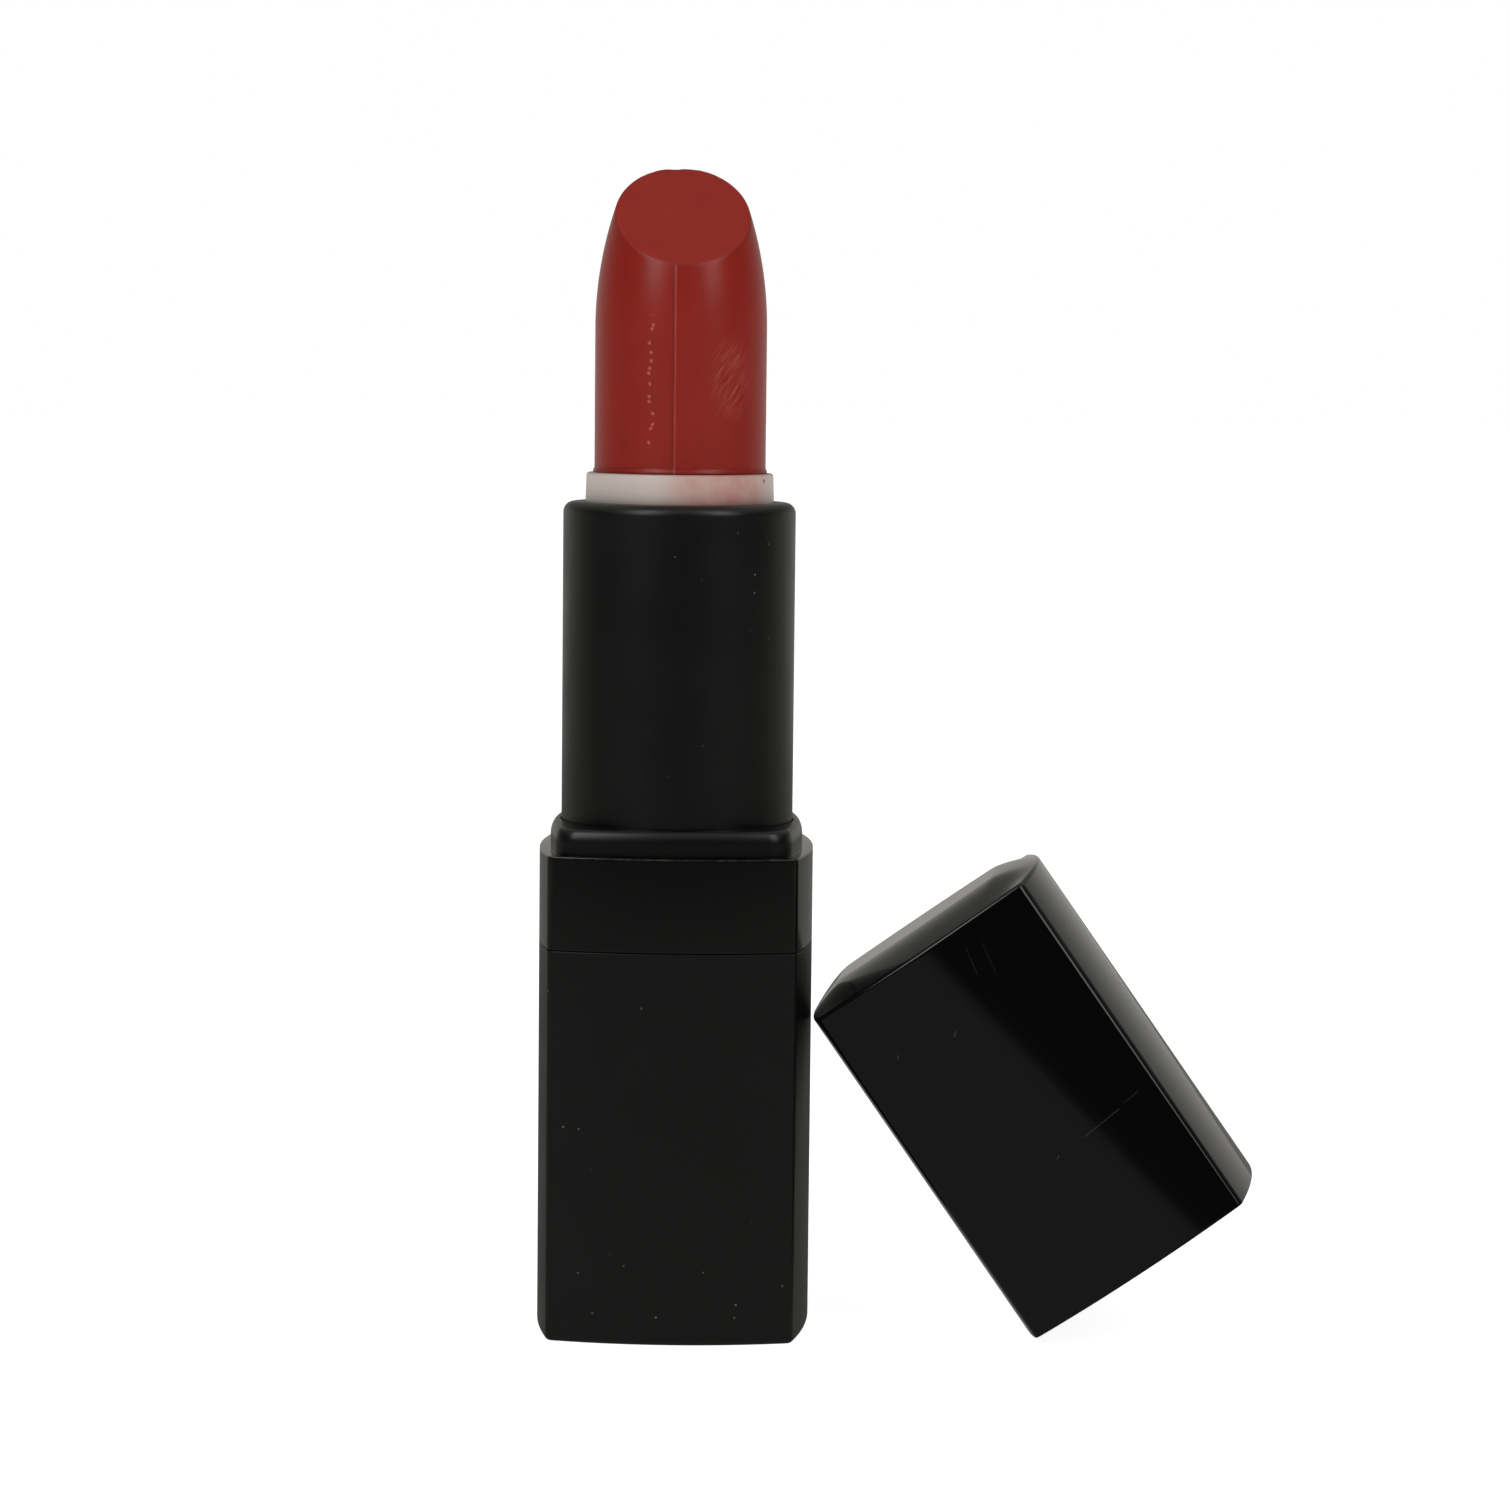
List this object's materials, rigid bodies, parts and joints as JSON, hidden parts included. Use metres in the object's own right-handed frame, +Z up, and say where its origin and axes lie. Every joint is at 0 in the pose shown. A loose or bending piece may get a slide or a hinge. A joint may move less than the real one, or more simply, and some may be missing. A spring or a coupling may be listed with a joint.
{
  "type": "lipstick case",
  "caption": "Square twist-up lipstick with softly bowed sides, wound up, its gloss cap off and leaning against the case.",
  "frame": {"origin": "centre of the base's underside, on the axis of the round tube", "axes": "+Z up along the tube, +X to the side where the cap leans, +Y to the back; the bullet's slanted face looks to the front, -Y"},
  "size_m": [0.0511, 0.0208, 0.0818],
  "materials": {
    "base_black": "fine satin moulded ABS",
    "collar_black": "semi-gloss moulded ABS",
    "tube_black": "satin moulded ABS",
    "cap_black": "high-gloss moulded ABS",
    "cup_white": "natural white moulded polypropylene",
    "mechanism_white": "moulded acetal",
    "core_plastic": "moulded polypropylene",
    "lipstick_wax": "cast pigmented wax with an oily sheen",
    "ring_rubber": "moulded silicone rubber",
    "weight_steel": "turned steel",
    "label_paper": "blank matt film"
  },
  "bodies": {
    "base": {"base_shell": "base_black", "shade_label": "label_paper", "base_weight": "weight_steel", "base_core": "core_plastic", "collar": "collar_black", "inner_body": "mechanism_white", "friction_ring": "ring_rubber"},
    "tube": {"outer_tube": "tube_black", "spiral_sleeve": "mechanism_white"},
    "carrier": {"cup": "cup_white", "bullet": "lipstick_wax"},
    "cap": {"cap_shell": "cap_black", "cap_liner": "core_plastic"}
  },
  "joints": [
    {"name": "tube_twist", "type": "hinge", "parent": "base", "child": "tube", "pos_m": [0, 0, 0.047], "axis": [0, 0, 1], "range_deg": [0, 540]},
    {"name": "bullet_rise", "type": "slide", "parent": "base", "child": "carrier", "axis": [0, 0, 1], "range_m": [-0.0245, 0]},
    {"name": "cap_lift", "type": "slide", "parent": "base", "child": "cap", "axis": [0, 0, 1], "range_m": [0, 0.09]}
  ],
  "couplings": [
    {"joint": "bullet_rise", "follows": "tube_twist", "m_per_rad": -0.0025995}
  ]
}
